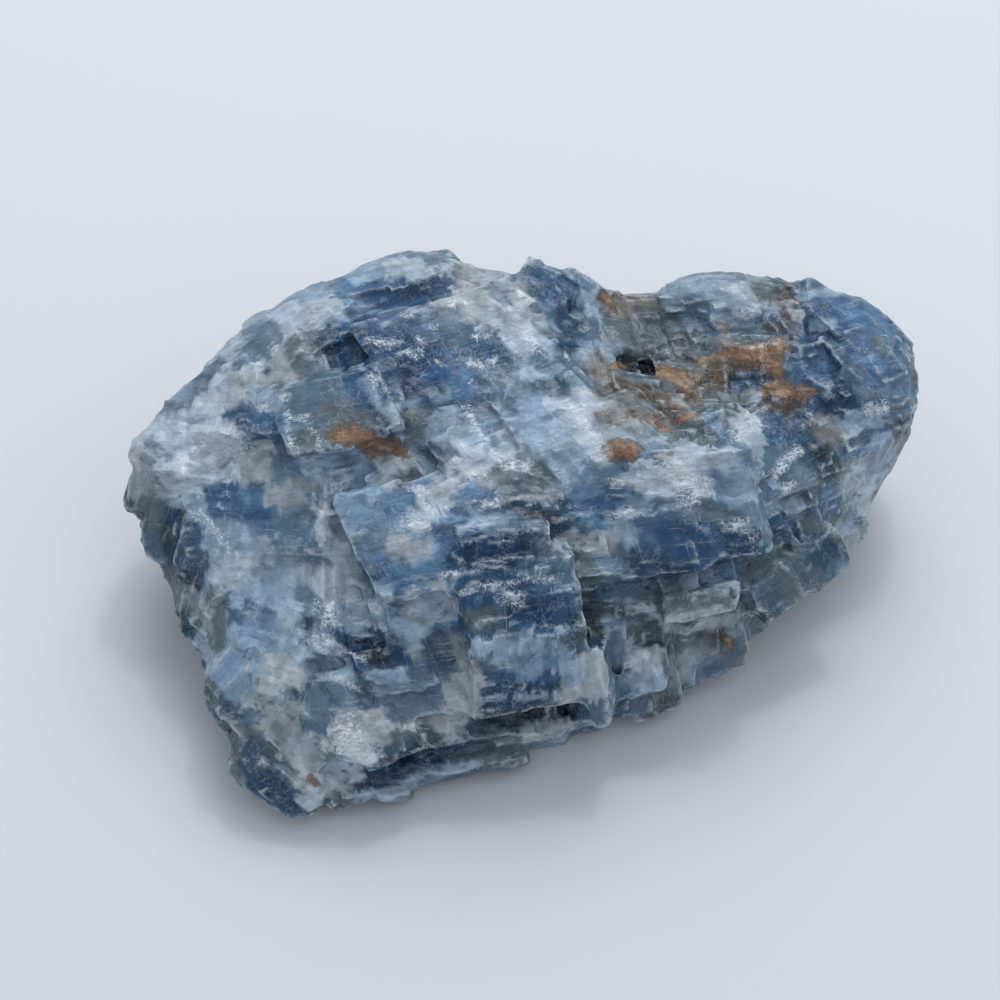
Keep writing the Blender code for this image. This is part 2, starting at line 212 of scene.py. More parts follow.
def apply_remesh(piece, pitch):
    only(piece)
    modifier = piece.modifiers.new("even mesh", "REMESH")
    modifier.mode = "VOXEL"
    modifier.voxel_size = pitch
    bpy.ops.object.modifier_apply(modifier=modifier.name)


def summed(indices, values, length):
    """Adds up rows of values that share an index."""
    return np.stack([np.bincount(indices, values[:, axis], length) for axis in range(3)], axis=1)


def unit(rows):
    return rows / np.maximum(np.linalg.norm(rows, axis=1, keepdims=True), 1e-12)


def sharpen(piece, points):
    """Flattens each facet and draws its edges sharp: the way that every face points is averaged
    with neighbours that point alike, and the points are then moved onto those planes."""
    faces = np.empty(len(piece.data.loops), np.int32)
    piece.data.loops.foreach_get("vertex_index", faces)
    faces = faces.reshape(-1, 4)
    sides = np.sort(np.stack([faces, np.roll(faces, -1, axis=1)], axis=2).reshape(-1, 2), axis=1)
    key = sides[:, 0].astype(np.int64) * len(points) + sides[:, 1]
    order = np.argsort(key, kind="stable")
    paired = np.flatnonzero(key[order][:-1] == key[order][1:])
    near, far = order[paired] // 4, order[paired + 1] // 4
    corners = faces.ravel()
    count = np.bincount(corners, minlength=len(points))[:, None]
    one_diagonal = points[faces[:, 2]] - points[faces[:, 0]]
    other_diagonal = points[faces[:, 3]] - points[faces[:, 1]]
    normals = unit(np.cross(one_diagonal, other_diagonal))
    for _ in range(NORMAL_STEPS):
        turned = ((normals[near] - normals[far]) ** 2).sum(axis=1)
        alike = np.exp(-turned / (2 * FACET_SPREAD**2))[:, None]
        gain = summed(near, normals[far] * alike, len(faces))
        gain += summed(far, normals[near] * alike, len(faces))
        normals = unit(normals + gain)
    for _ in range(POINT_STEPS):
        middles = points[faces].mean(axis=1)
        across = np.repeat(normals, 4, axis=0)
        away = ((np.repeat(middles, 4, axis=0) - points[corners]) * across).sum(axis=1, keepdims=True)
        points = points + summed(corners, across * away, len(points)) / count
    return points


stone = bpy.data.objects.new("raw_calcite", frame["nodes"]["calcite_chunk"].data.copy())
bpy.context.scene.collection.objects.link(stone)
stone.data.materials.clear()
only(stone)
bpy.ops.object.mode_set(mode="EDIT")
bpy.ops.mesh.select_all(action="SELECT")
bpy.ops.mesh.remove_doubles(threshold=0.00001)
bpy.ops.object.mode_set(mode="OBJECT")

for vertex, direction in zip(stone.data.vertices, [Vector(n.vector) for n in stone.data.vertex_normals]):
    for heart, radius, amount in SWELLS:
        away = (vertex.co / MM + Vector(MIDDLE) - Vector(heart)).length / radius
        vertex.co += direction * amount * max(0, 1 - away * away) * MM

sampled = stone.copy()
sampled.data = stone.data.copy()
bpy.context.scene.collection.objects.link(sampled)
apply_remesh(sampled, SAMPLE_PITCH)
points = vectors(sampled.data.vertices, "co")
facing = vectors(sampled.data.vertex_normals, "vector")
bpy.data.objects.remove(sampled)

rng = np.random.default_rng(FIXED_SEED)
owner = crystal_of(points)
lattices = [lattice(turn) for _, turn, _, _ in CRYSTALS.values()]
broken = np.array([share for _, _, share, _ in CRYSTALS.values()])
tree = tree_of(points)
for vertex, direction in zip(stone.data.vertices, [tuple(n.vector) for n in stone.data.vertex_normals]):
    if vertex.co.z > FOOT * MM:
        vertex.co -= Vector(direction) * CORE_SHRINK * MM


def standing(corners):
    """How far each corner stands over the surface of the CAD solid."""
    found = [tree.find(corner)[1] for corner in corners]
    return ((corners - points[found]) * facing[found]).sum(axis=1) / MM


def across_surface(edges, outward):
    """The lattice edges in the order that puts a cleavage face across the surface."""
    best = None
    for turn in range(3):
        first, second, third = [edges[:, (turn + k) % 3] for k in range(3)]
        across = np.cross(first, second)
        across /= np.linalg.norm(across)
        for sense in (1, -1):
            match = sense * across @ outward
            if best is None or match > best[0]:
                best = (match, first, second, third * sense, across * sense)
    return best


taken = np.zeros(len(points), bool)
unit_cube = np.array([(x, y, z) for x in (-0.5, 0.5) for y in (-0.5, 0.5) for z in (-1, 0)])
cube_faces = [(0, 1, 3, 2), (4, 6, 7, 5), (0, 4, 5, 1), (2, 3, 7, 6), (0, 2, 6, 4), (1, 5, 7, 3)]
chip_corners, chip_faces = [], []
for index in rng.permutation(len(points)):
    if taken[index]:
        continue
    for _, near, _ in tree.find_range(points[index], CHIP_SPACING):
        taken[near] = True
    calm = rng.random() > broken[owner[index]]
    sliver = rng.random() < SLIVER_SHARE
    long, wide = rng.uniform(*CHIP_LENGTH, size=2)
    lift = rng.uniform(*CHIP_LIFT)
    if sliver:
        long, wide = rng.uniform(*SLIVER_LENGTH), rng.uniform(*SLIVER_WIDTH)
    elif calm:
        long, wide, lift = long * CALM_SIZE, wide * CALM_SIZE, lift * CALM_LIFT
    if points[index][2] < FOOT * MM:
        continue
    match, first, second, third, across = across_surface(lattices[owner[index]], facing[index])
    inside_out = np.cross(first, second) @ third < 0
    for _ in range(TRIES):
        deep = min(0.5 * (long + wide) + LEAST_DEPTH, MOST_DEPTH)
        sides = np.array([long, wide, deep]) * MM
        corners = unit_cube * sides @ np.stack([first, second, third]) + points[index]
        corners += facing[index] * (lift - standing(corners[1::2]).max() * TILT_SINK) * MM
        if standing(corners[1::2]).max() < MOST_STANDING and standing(corners[::2]).max() < LEAST_SUNK:
            break
        long, wide = long * 0.6, max(wide * 0.7, 0.6)
    else:
        continue
    begin = len(chip_corners) * 8
    for face in cube_faces:
        face = face[::-1] if inside_out else face
        chip_faces.append([begin + corner for corner in face])
    chip_corners.append(corners)
chips_mesh = bpy.data.meshes.new("chips")
chips_mesh.from_pydata(np.concatenate(chip_corners), [], chip_faces)
chips = bpy.data.objects.new("chips", chips_mesh)
bpy.context.scene.collection.objects.link(chips)
only(stone)
chips.select_set(True)
bpy.ops.object.join()
apply_remesh(stone, FINE_PITCH)

points = sharpen(stone, vectors(stone.data.vertices, "co"))
points[:, 2] = np.maximum(points[:, 2], 0)
points = np.clip(points, np.array(cad_box[0]), np.array(cad_box[1]))
stone.data.vertices.foreach_set("co", points.astype(np.float32).ravel())
stone.data.update()
facing = vectors(stone.data.vertex_normals, "vector")
owner = crystal_of(points)

# Edges and hollows
# How far each point stands out of the surface around it, for the pale worn edges with their painted highlight
# and for the painted shade in hollows.
EDGE_STEPS, NEAR_STEPS, FAR_STEPS = 4, 10, 90
ends = np.empty(len(stone.data.edges) * 2, np.int32)
stone.data.edges.foreach_get("vertices", ends)
ends = ends.reshape(-1, 2)
count = np.bincount(ends.ravel(), minlength=len(points))[:, None]
smooth, stand_out = points.copy(), {}
for step in range(1, FAR_STEPS + 1):
    total = summed(ends[:, 0], smooth[ends[:, 1]], len(points))
    total += summed(ends[:, 1], smooth[ends[:, 0]], len(points))
    smooth = (smooth + total / count) / 2
    if step in (EDGE_STEPS, NEAR_STEPS, FAR_STEPS):
        stand_out[step] = ((points - smooth) * facing).sum(axis=1) / MM

# The colours of the stone
# Each crystal has a tone of its own. Over it lie strokes where the photograph shows them: a tone,
# a half width in mm and the pixels of the photograph that it runs through, across and down in
# turn. Frost is crushed white calcite and in a few places a painted glint; a stain is iron rust;
# both are drawn by the material. Some dark strokes in gaps, pits, holes, grooves and under ledges
# are painted shade. Tones are sRGB.
TONES = {
    "ink": (28, 56, 84), "navy": (46, 76, 108), "coal": (28, 38, 44), "violet": (78, 98, 128),
    "slate": (80, 102, 122), "blue": (76, 106, 137), "steel": (108, 133, 157), "haze": (135, 155, 175),
    "pale": (165, 178, 190), "bone": (152, 160, 166), "umber": (78, 64, 52), "clay": (118, 114, 110),
    "smoke": (80, 90, 97), "moss": (78, 91, 98), "fern": (46, 66, 78), "lichen": (135, 147, 153),
    "dusk": (52, 75, 96),
}
MARKINGS = {
    "left shoulder": [
        ("pale", 4.5, 140, 450, 175, 425, 215, 400), ("pale", 3, 200, 470, 240, 450),
        ("frost", 2.2, 205, 450, 235, 440), ("frost", 1.5, 180, 465, 200, 455),
        ("slate", 1.8, 170, 405, 195, 385), ("dusk", 1.4, 205, 372, 215, 365),
        ("bone", 2.4, 240, 470, 260, 460), ("bone", 1.4, 127, 470, 135, 455),
        ("slate", 0.7, 150, 445, 168, 458), ("pale", 2, 180, 480, 170, 465),
        ("lichen", 2.6, 135, 465, 150, 490), ("pale", 2.2, 200, 446, 224, 434),
        ("frost", 0.9, 204, 444, 222, 436), ("pale", 1.3, 192, 452, 214, 474),
        ("pale", 1.25, 198, 442, 222, 446, 204, 434), ("pale", 0.85, 202, 434, 218, 446),
    ],
    "pale blades": [
        ("slate", 3, 250, 345, 262, 360), ("pale", 2.5, 228, 358, 240, 375),
        ("pale", 3.6, 285, 325, 310, 310, 305, 340), ("bone", 2, 285, 355, 292, 375),
        ("fern", 0.9, 290, 345, 303, 374), ("frost", 1, 312, 322, 322, 312),
        ("haze", 2.2, 300, 300, 320, 290), ("moss", 1.8, 308, 338, 318, 345),
        # the small frost stroke at 273, 346 is a painted glint
        ("bone", 1.6, 240, 382, 260, 380), ("frost", 0.6, 273, 346, 274, 350),
        ("slate", 1.7, 243, 358, 258, 342), ("bone", 1.2, 218, 404, 238, 396),
    ],
    "back ridge": [
        ("blue", 2.6, 325, 285, 345, 280), ("haze", 2.4, 365, 272, 400, 268),
        ("pale", 1.6, 395, 262, 412, 268), ("slate", 2, 405, 252, 440, 262), ("navy", 2, 385, 296, 440, 288),
        ("pale", 0.8, 410, 276, 450, 266), ("steel", 1.2, 316, 286, 330, 278, 342, 274),
        ("slate", 1.25, 312, 276, 336, 284), ("slate", 0.85, 320, 282, 332, 276),
    ],
    "dark face": [
        ("ink", 6, 375, 335, 430, 330, 435, 385), ("blue", 4, 450, 350, 485, 350),
        ("blue", 3, 450, 380, 470, 375), ("violet", 2.4, 375, 320, 415, 318),
        ("ink", 4.5, 385, 360, 420, 375, 420, 400), ("ink", 3.6, 385, 355, 425, 365),
        ("ink", 2.6, 395, 385, 425, 388), ("navy", 2.2, 465, 340, 490, 345),
        ("smoke", 2.4, 400, 425, 425, 420), ("haze", 1.6, 440, 430, 450, 415),
        ("haze", 0.5, 360, 365, 368, 385, 380, 405, 395, 415, 400, 440),
        ("haze", 0.5, 390, 408, 430, 400, 447, 395), ("haze", 0.5, 370, 313, 400, 309, 430, 310),
        ("frost", 0.4, 365, 338, 385, 343), ("frost", 0.4, 400, 350, 420, 358, 418, 335),
        ("frost", 0.4, 408, 315, 415, 310), ("frost", 0.4, 430, 325, 436, 340),
        ("frost", 0.4, 437, 358, 440, 364), ("frost", 0.4, 372, 375, 378, 380),
        ("frost", 0.4, 475, 335, 488, 337), ("frost", 0.4, 495, 358, 490, 365),
        ("frost", 0.4, 470, 365, 490, 365), ("frost", 0.4, 470, 383, 475, 385),
        ("ink", 3.4, 375, 345, 410, 372), ("navy", 4, 360, 330, 425, 350, 420, 395, 375, 385),
        ("slate", 1.7, 432, 322, 452, 318), ("navy", 2.1, 375, 350, 400, 342),
        ("violet", 1.7, 385, 318, 418, 324), ("navy", 0.85, 376, 374, 392, 404),
        ("navy", 0.85, 386, 372, 402, 396), ("navy", 1.2, 426, 374, 446, 366),
    ],
    "slab": [
        ("slate", 5, 300, 400, 350, 385), ("moss", 1.6, 262, 395, 285, 400),
        ("frost", 0.5, 262, 408, 285, 395), ("smoke", 3, 340, 415, 380, 420),
        ("stain", 1.5, 335, 435, 365, 440, 395, 447), ("stain", 0.9, 340, 437, 360, 435),
        ("stain", 1, 365, 448, 400, 450), ("stain", 0.6, 352, 430, 372, 445),
        ("blue", 3.2, 240, 410, 275, 445), ("navy", 2.6, 245, 418, 262, 440),
        ("moss", 1.8, 305, 440, 312, 455),
        ("frost", 0.35, 285, 415, 290, 440, 305, 462, 320, 455, 318, 435, 305, 422, 285, 415),
        # these two ink strokes are painted shade along the steps beside the slab
        ("ink", 0.8, 357, 368, 370, 395, 390, 440), ("ink", 1.2, 325, 335, 335, 358, 345, 362),
        ("haze", 1.3, 256, 392, 276, 402),
    ],
    "white blade and upper lump": [
        ("slate", 3, 500, 350, 510, 390), ("bone", 3.2, 450, 290, 475, 315),
        ("bone", 2.6, 480, 275, 520, 290), ("pale", 2.2, 500, 315, 530, 345),
        ("frost", 1, 515, 330, 535, 350), ("frost", 0.7, 453, 303, 460, 300),
        ("haze", 1.8, 540, 350, 535, 370), ("slate", 3, 540, 272, 575, 275),
        ("slate", 1.8, 505, 270, 525, 268), ("blue", 2.6, 575, 290, 590, 285),
        ("navy", 1.8, 540, 280, 548, 300), ("ink", 1.6, 575, 310, 565, 340),
        ("haze", 1.4, 590, 300, 585, 315), ("slate", 1.4, 590, 325, 583, 335),
        ("slate", 2.4, 570, 370, 590, 380), ("haze", 1.4, 530, 372, 555, 372),
        # the dusk stroke is a painted shadow under a ledge, and the small frost stroke a painted glint
        ("dusk", 0.8, 528, 385, 565, 383), ("frost", 0.5, 566, 355, 568, 358),
        ("slate", 3.2, 555, 345, 560, 385), ("steel", 2.8, 550, 400, 530, 412),
        ("slate", 1.9, 542, 360, 556, 384), ("slate", 1.2, 540, 358, 556, 384, 548, 366),
        ("slate", 1.2, 494, 286, 504, 300), ("slate", 1.25, 542, 366, 560, 376),
    ],
    "smoky saddle": [
        ("smoke", 6, 640, 330, 690, 320), ("smoke", 4, 625, 320, 640, 350),
        ("slate", 2.2, 695, 310, 700, 340), ("haze", 3, 670, 282, 710, 290), ("haze", 3, 720, 290, 745, 305),
        ("pale", 1.4, 735, 290, 755, 305), ("stain", 0.8, 602, 295, 610, 303),
        ("umber", 0.5, 605, 292, 640, 300), ("smoke", 1.6, 765, 288, 790, 295),
        ("haze", 2.2, 610, 330, 600, 350), ("frost", 0.5, 611, 329, 614, 332),
        ("stain", 0.6, 610, 368, 620, 365), ("moss", 3.4, 620, 385, 650, 395),
        # the coal strokes are painted shade in a hole
        ("clay", 2, 604, 400, 634, 410), ("coal", 1.6, 625, 365, 645, 365), ("coal", 0.8, 618, 362, 655, 370),
        ("umber", 1.2, 620, 385, 655, 398), ("clay", 1.6, 612, 296, 640, 300),
        ("clay", 1.4, 598, 360, 612, 396), ("smoke", 2, 612, 322, 628, 338),
        ("smoke", 1.6, 596, 314, 604, 330), ("clay", 1.2, 606, 300, 620, 312),
        ("smoke", 1.25, 614, 324, 630, 334), ("moss", 0.9, 612, 396, 636, 402),
        ("umber", 0.7, 600, 414, 618, 422), ("lichen", 0.8, 598, 394, 612, 404),
        ("bone", 0.7, 620, 420, 640, 424),
    ],
    "iron stains": [
        ("clay", 2.4, 700, 350, 725, 345), ("stain", 1.2, 662, 372, 690, 378),
        ("stain", 0.8, 675, 382, 690, 390), ("umber", 1.2, 700, 378, 728, 368),
        ("umber", 1, 668, 395, 700, 395), ("umber", 1.5, 665, 410, 690, 418),
        ("navy", 1.1, 735, 385, 765, 378), ("stain", 2, 745, 355, 775, 350),
        ("stain", 0.9, 745, 355, 755, 352), ("stain", 1.2, 770, 365, 778, 385),
        ("stain", 1.3, 770, 390, 805, 393), ("stain", 0.5, 785, 393, 800, 395),
        ("frost", 0.3, 752, 348, 778, 341), ("smoke", 2.4, 715, 402, 735, 405),
        ("slate", 1.8, 745, 325, 765, 330), ("frost", 0.5, 740, 317, 758, 315),
        ("umber", 0.9, 770, 330, 785, 325), ("bone", 0.9, 792, 305, 798, 315),
        ("smoke", 4.2, 680, 335, 700, 362), ("umber", 1.5, 790, 300, 795, 335),
        ("umber", 1.6, 705, 385, 760, 370), ("umber", 1.5, 640, 390, 664, 402, 690, 400),
        ("umber", 1.3, 770, 402, 792, 408), ("stain", 0.8, 700, 362, 735, 352),
        ("stain", 0.7, 650, 420, 668, 430), ("smoke", 2.2, 680, 345, 702, 352),
        ("coal", 1, 686, 356, 698, 350), ("umber", 1.3, 752, 382, 768, 388),
        ("smoke", 1.2, 684, 342, 700, 356, 690, 360), ("smoke", 1.25, 680, 344, 704, 350, 684, 358),
        ("stain", 0.5, 672, 404, 688, 412), ("stain", 0.5, 680, 420, 696, 414),
        ("lichen", 0.6, 676, 400, 700, 420), ("umber", 0.8, 636, 414, 660, 420),
        ("smoke", 0.85, 684, 346, 698, 354), ("clay", 0.85, 676, 370, 696, 374),
        ("stain", 0.6, 748, 350, 762, 346), ("stain", 0.6, 788, 394, 800, 396),
    ],
    "right lobe": [
        ("navy", 6, 820, 330, 850, 340, 830, 380), ("blue", 3.5, 890, 330, 895, 360),
        ("blue", 3, 860, 310, 885, 315), ("ink", 1.8, 815, 335, 830, 340), ("ink", 2.2, 838, 390, 842, 398),
        ("moss", 1.5, 880, 345, 885, 350), ("slate", 4, 870, 390, 900, 400), ("haze", 1, 800, 294, 840, 292),
        ("haze", 0.8, 815, 325, 835, 322), ("umber", 0.7, 911, 350, 915, 385),
        # the frost strokes at 872, 410 and 914, 408 are painted glints
        ("smoke", 1.4, 905, 420, 900, 440), ("frost", 1.2, 872, 410, 885, 408),
        ("frost", 0.7, 914, 408, 919, 405), ("haze", 2, 850, 430, 865, 425),
        # the dusk stroke at 850, 450 is painted shade under a step
        ("dusk", 0.9, 850, 450, 868, 435), ("haze", 2.6, 875, 450, 880, 465),
        ("frost", 0.4, 845, 440, 855, 460), ("dusk", 2, 905, 445, 895, 475),
        ("bone", 0.8, 822, 420, 835, 422), ("navy", 2.6, 785, 425, 802, 435),
        ("fern", 2.2, 815, 455, 830, 470), ("coal", 0.9, 815, 450, 820, 455),
        ("haze", 2.8, 878, 470, 890, 450), ("clay", 1.5, 820, 424, 838, 440),
        ("dusk", 1.6, 788, 426, 804, 436), ("dusk", 1.3, 796, 330, 804, 350),
        ("dusk", 1.2, 884, 304, 896, 322), ("coal", 1, 902, 428, 904, 452), ("ink", 0.9, 902, 430, 906, 456),
    ],
    "right slope": [
        ("slate", 3.4, 750, 440, 770, 430), ("slate", 3, 760, 500, 800, 470),
        ("steel", 3.5, 720, 480, 745, 480), ("frost", 1.3, 736, 438, 750, 424, 758, 418),
        ("pale", 2, 690, 450, 720, 455), ("pale", 3, 660, 480, 700, 490), ("frost", 2.2, 670, 470, 690, 490),
        ("bone", 1.2, 668, 455, 675, 465), ("frost", 0.7, 775, 475, 785, 460, 800, 450),
        ("frost", 0.7, 785, 490, 795, 485), ("blue", 2, 820, 505, 835, 505), ("moss", 3, 820, 520, 845, 530),
        ("haze", 1.1, 845, 530, 855, 515), ("moss", 3, 760, 560, 800, 560), ("navy", 1.8, 775, 520, 785, 530),
        ("dusk", 2, 820, 545, 825, 555), ("blue", 2.8, 700, 425, 715, 450),
        ("lichen", 3.6, 850, 480, 855, 540), ("pale", 1.9, 745, 420, 755, 450),
        ("haze", 1.9, 750, 484, 770, 496), ("pale", 2.2, 854, 480, 866, 500),
        ("lichen", 2.1, 844, 530, 856, 550), ("smoke", 1.2, 690, 425, 706, 440, 698, 428),
        ("bone", 1.3, 842, 536, 860, 548), ("steel", 0.85, 752, 486, 768, 496),
        ("slate", 1.3, 700, 430, 722, 444),
    ],
    "crest": [
        ("haze", 3, 540, 430, 560, 440), ("steel", 3.5, 550, 445, 565, 470), ("pale", 2, 560, 400, 585, 405),
        ("frost", 1, 565, 408, 580, 408), ("pale", 1.6, 575, 415, 600, 455), ("frost", 1, 580, 420, 603, 457),
        ("slate", 2.2, 600, 472, 645, 465), ("slate", 2.2, 640, 470, 650, 450),
        ("stain", 2, 612, 448, 628, 447), ("stain", 0.8, 622, 446, 634, 448),
        ("navy", 2.4, 610, 500, 640, 492), ("blue", 3, 590, 510, 620, 510), ("blue", 3, 600, 530, 625, 535),
        ("haze", 2.4, 640, 520, 655, 500), ("haze", 2.8, 610, 560, 635, 540),
        ("frost", 0.7, 612, 483, 620, 483), ("frost", 0.5, 625, 484, 645, 480),
        ("frost", 0.4, 618, 515, 630, 510), ("dusk", 1.8, 555, 525, 575, 540),
        ("bone", 1.5, 590, 545, 605, 540), ("navy", 2.2, 640, 532, 668, 527),
        ("slate", 1.7, 602, 556, 620, 564), ("pale", 1.9, 640, 476, 662, 484),
        ("haze", 1.2, 612, 524, 630, 538),
    ],
    "centre": [
        ("steel", 4, 490, 430, 510, 440), ("pale", 3, 450, 470, 500, 455), ("frost", 1.4, 450, 470, 480, 470),
        ("frost", 0.9, 505, 465, 530, 465), ("pale", 2, 455, 440, 475, 455),
        ("frost", 0.5, 463, 403, 478, 430, 495, 457), ("slate", 2, 420, 460, 440, 455),
        ("smoke", 3, 500, 482, 545, 485), ("bone", 1.6, 390, 465, 410, 465),
        ("bone", 0.8, 385, 480, 392, 485), ("bone", 1.6, 430, 497, 452, 480),
        # the coal stroke is painted shade in a pit, and the frost stroke beside it a painted glint
        ("coal", 0.8, 398, 485, 412, 478), ("frost", 1, 415, 492, 422, 492),
        ("dusk", 2.6, 520, 520, 560, 512), ("ink", 1.6, 520, 535, 550, 530),
        ("coal", 0.8, 530, 515, 555, 520), ("bone", 0.4, 520, 498, 560, 496), ("bone", 1, 548, 545, 572, 540),
        ("steel", 3.2, 360, 490, 400, 505), ("fern", 2.8, 510, 515, 560, 515),
        ("steel", 1.9, 460, 428, 482, 434), ("steel", 1.2, 476, 424, 488, 440),
        ("slate", 0.85, 528, 520, 548, 530),
    ],
    "centre plate": [
        ("steel", 5, 350, 520, 400, 540), ("slate", 4, 370, 560, 400, 590), ("blue", 3, 390, 580, 412, 568),
        ("bone", 1.5, 400, 547, 420, 550), ("frost", 0.8, 405, 522, 425, 525),
        ("pale", 1.5, 420, 520, 440, 505), ("bone", 1.2, 320, 510, 330, 540, 345, 580),
        ("pale", 1.5, 345, 590, 375, 605), ("frost", 0.8, 345, 598, 380, 608),
        ("lichen", 2.6, 425, 615, 405, 640), ("bone", 1.4, 440, 590, 455, 605),
        ("frost", 0.4, 440, 575, 455, 572), ("blue", 3, 400, 500, 470, 505),
        ("pale", 1.8, 333, 520, 348, 585), ("haze", 1.9, 390, 600, 450, 600),
        ("navy", 1.4, 382, 574, 398, 588), ("pale", 1.6, 326, 518, 334, 544),
        ("pale", 1.6, 418, 602, 442, 597), ("steel", 1.3, 404, 626, 416, 636),
        ("pale", 1.2, 326, 520, 336, 548, 346, 590), ("haze", 1.2, 424, 606, 446, 616),
        ("pale", 1.25, 322, 516, 338, 534, 326, 546), ("pale", 1.25, 414, 596, 446, 602, 420, 608),
        ("haze", 1.25, 402, 624, 418, 634), ("pale", 0.85, 324, 520, 338, 540, 340, 570, 346, 590),
        ("haze", 0.85, 424, 594, 438, 606),
    ],
    "stairs": [
        ("navy", 4, 460, 545, 500, 550), ("ink", 2.2, 470, 555, 505, 550), ("haze", 1, 465, 525, 500, 518),
        ("frost", 0.6, 480, 505, 497, 503), ("navy", 3, 470, 580, 510, 575),
        ("slate", 2.4, 540, 560, 560, 565), ("navy", 3, 540, 600, 560, 590), ("ink", 2.2, 520, 610, 560, 612),
        ("moss", 1.4, 470, 620, 500, 622), ("frost", 0.45, 460, 593, 485, 587, 515, 582),
        # the broader frost stroke at 499, 595 is a painted glint
        ("frost", 0.45, 525, 578, 560, 580), ("frost", 1, 499, 595, 517, 594),
        ("slate", 3.5, 480, 650, 500, 670), ("blue", 4, 530, 650, 550, 680),
        ("haze", 1.1, 500, 640, 540, 645), ("navy", 2.4, 490, 690, 560, 690),
        # the ink and coal strokes here are painted shade in the gap under the stair block
        ("ink", 0.9, 490, 692, 555, 690), ("haze", 0.5, 490, 698, 545, 696), ("ink", 0.9, 490, 705, 550, 703),
        ("coal", 1.4, 490, 712, 570, 710), ("haze", 2.2, 572, 645, 580, 680),
        ("bone", 1.2, 560, 700, 585, 690), ("bone", 1.6, 595, 660, 600, 690), ("navy", 3, 480, 615, 520, 620),
        ("dusk", 1.9, 536, 544, 552, 558), ("fern", 1.8, 528, 702, 554, 697),
        ("steel", 1.7, 512, 656, 530, 664), ("ink", 2.1, 476, 552, 504, 547),
        ("navy", 1.2, 508, 626, 530, 636), ("haze", 1.2, 478, 648, 500, 656),
        ("dusk", 1.25, 534, 540, 556, 548, 540, 558), ("slate", 1.25, 486, 512, 514, 518, 492, 526),
        ("fern", 1.25, 530, 696, 552, 704), ("slate", 0.85, 492, 514, 510, 526),
        ("dusk", 0.85, 538, 546, 552, 554), ("dusk", 0.85, 500, 630, 520, 634),
        ("fern", 0.85, 532, 698, 550, 704),
    ],
    "below the centre plate": [
        ("bone", 2.2, 465, 670, 455, 710), ("bone", 2, 470, 700, 450, 720), ("dusk", 1.6, 440, 640, 445, 660),
        ("slate", 2, 420, 680, 440, 670), ("blue", 2.5, 375, 625, 395, 640),
        # these ink and coal strokes, and the ink stroke at 360, 644 below, are painted shade in the recess
        # under the ledge
        ("ink", 2.4, 330, 628, 360, 645, 385, 658), ("coal", 1.1, 375, 655, 385, 662),
        ("haze", 1.5, 360, 600, 375, 615), ("frost", 1.1, 325, 605, 338, 620),
        ("frost", 0.8, 345, 600, 350, 600), ("frost", 0.4, 350, 618, 385, 630),
        ("frost", 0.4, 315, 635, 345, 650, 362, 660), ("navy", 2.3, 360, 640, 390, 665),
        ("bone", 2.1, 455, 650, 470, 680), ("slate", 1.5, 304, 592, 316, 610),
        ("haze", 1.6, 342, 616, 360, 625), ("ink", 1.9, 360, 644, 384, 658),
        ("haze", 0.85, 342, 612, 354, 628),
    ],
    "blue streaks": [
        ("blue", 5, 230, 510, 260, 520), ("haze", 4, 210, 530, 240, 560), ("navy", 2.4, 225, 500, 245, 510),
        ("slate", 3, 280, 520, 310, 530), ("slate", 3, 270, 460, 300, 480), ("bone", 1.6, 275, 495, 300, 490),
        ("frost", 0.35, 180, 500, 205, 530), ("frost", 0.35, 200, 510, 235, 555),
        ("haze", 0.6, 205, 520, 215, 560), ("pale", 2.4, 270, 560, 300, 580), ("bone", 2, 330, 580, 340, 590),
        ("pale", 1.6, 222, 575, 240, 575), ("navy", 3, 240, 595, 265, 605), ("frost", 1, 335, 485, 345, 478),
        ("steel", 1.8, 360, 470, 355, 490), ("haze", 3.6, 230, 460, 320, 462),
        ("haze", 2.2, 262, 584, 284, 596), ("lichen", 1.6, 336, 560, 344, 584),
        ("haze", 2.1, 222, 574, 240, 588), ("haze", 1.25, 304, 464, 342, 462, 316, 476, 346, 478),
        ("lichen", 1.25, 336, 558, 350, 572, 340, 586), ("haze", 0.85, 322, 466, 340, 474),
        ("haze", 1.3, 262, 556, 280, 566),
    ],
    "left wall": [
        ("fern", 4, 140, 490, 160, 540, 180, 590), ("ink", 1.4, 175, 520, 195, 545),
        ("moss", 2, 150, 510, 145, 540), ("dusk", 2.4, 175, 560, 195, 575), ("moss", 1.6, 175, 590, 185, 600),
        ("slate", 1.6, 150, 545, 155, 560), ("fern", 2, 190, 640, 200, 690),
        ("dusk", 1.5, 215, 700, 230, 740),
    ],
    "front lobe": [
        ("haze", 5, 240, 650, 280, 660), ("moss", 2, 215, 600, 215, 640), ("steel", 3, 235, 665, 260, 640),
        ("lichen", 2.6, 265, 680, 285, 690), ("haze", 2, 300, 660, 330, 650),
        ("slate", 4, 330, 690, 310, 700), ("frost", 0.5, 310, 640, 340, 665),
        ("frost", 0.4, 325, 670, 360, 690), ("haze", 2, 385, 675, 400, 690),
        ("bone", 1.3, 285, 665, 295, 680), ("dusk", 0.7, 285, 690, 300, 700),
        ("slate", 3.5, 260, 720, 290, 740), ("moss", 3, 240, 740, 250, 770),
        ("bone", 1.1, 230, 722, 240, 732), ("moss", 2, 235, 790, 220, 760), ("navy", 3, 262, 775, 275, 800),
        ("ink", 2, 270, 785, 290, 800), ("dusk", 0.6, 240, 725, 270, 760, 290, 785),
        ("haze", 2.4, 205, 610, 215, 650), ("bone", 2.8, 285, 700, 290, 740),
        ("haze", 1.9, 310, 660, 340, 672), ("smoke", 1.7, 268, 752, 284, 768),
        ("slate", 1.5, 384, 672, 396, 690), ("lichen", 1.6, 194, 602, 206, 620),
        ("steel", 1.25, 384, 674, 398, 686),
    ],
    "crumbly lip": [
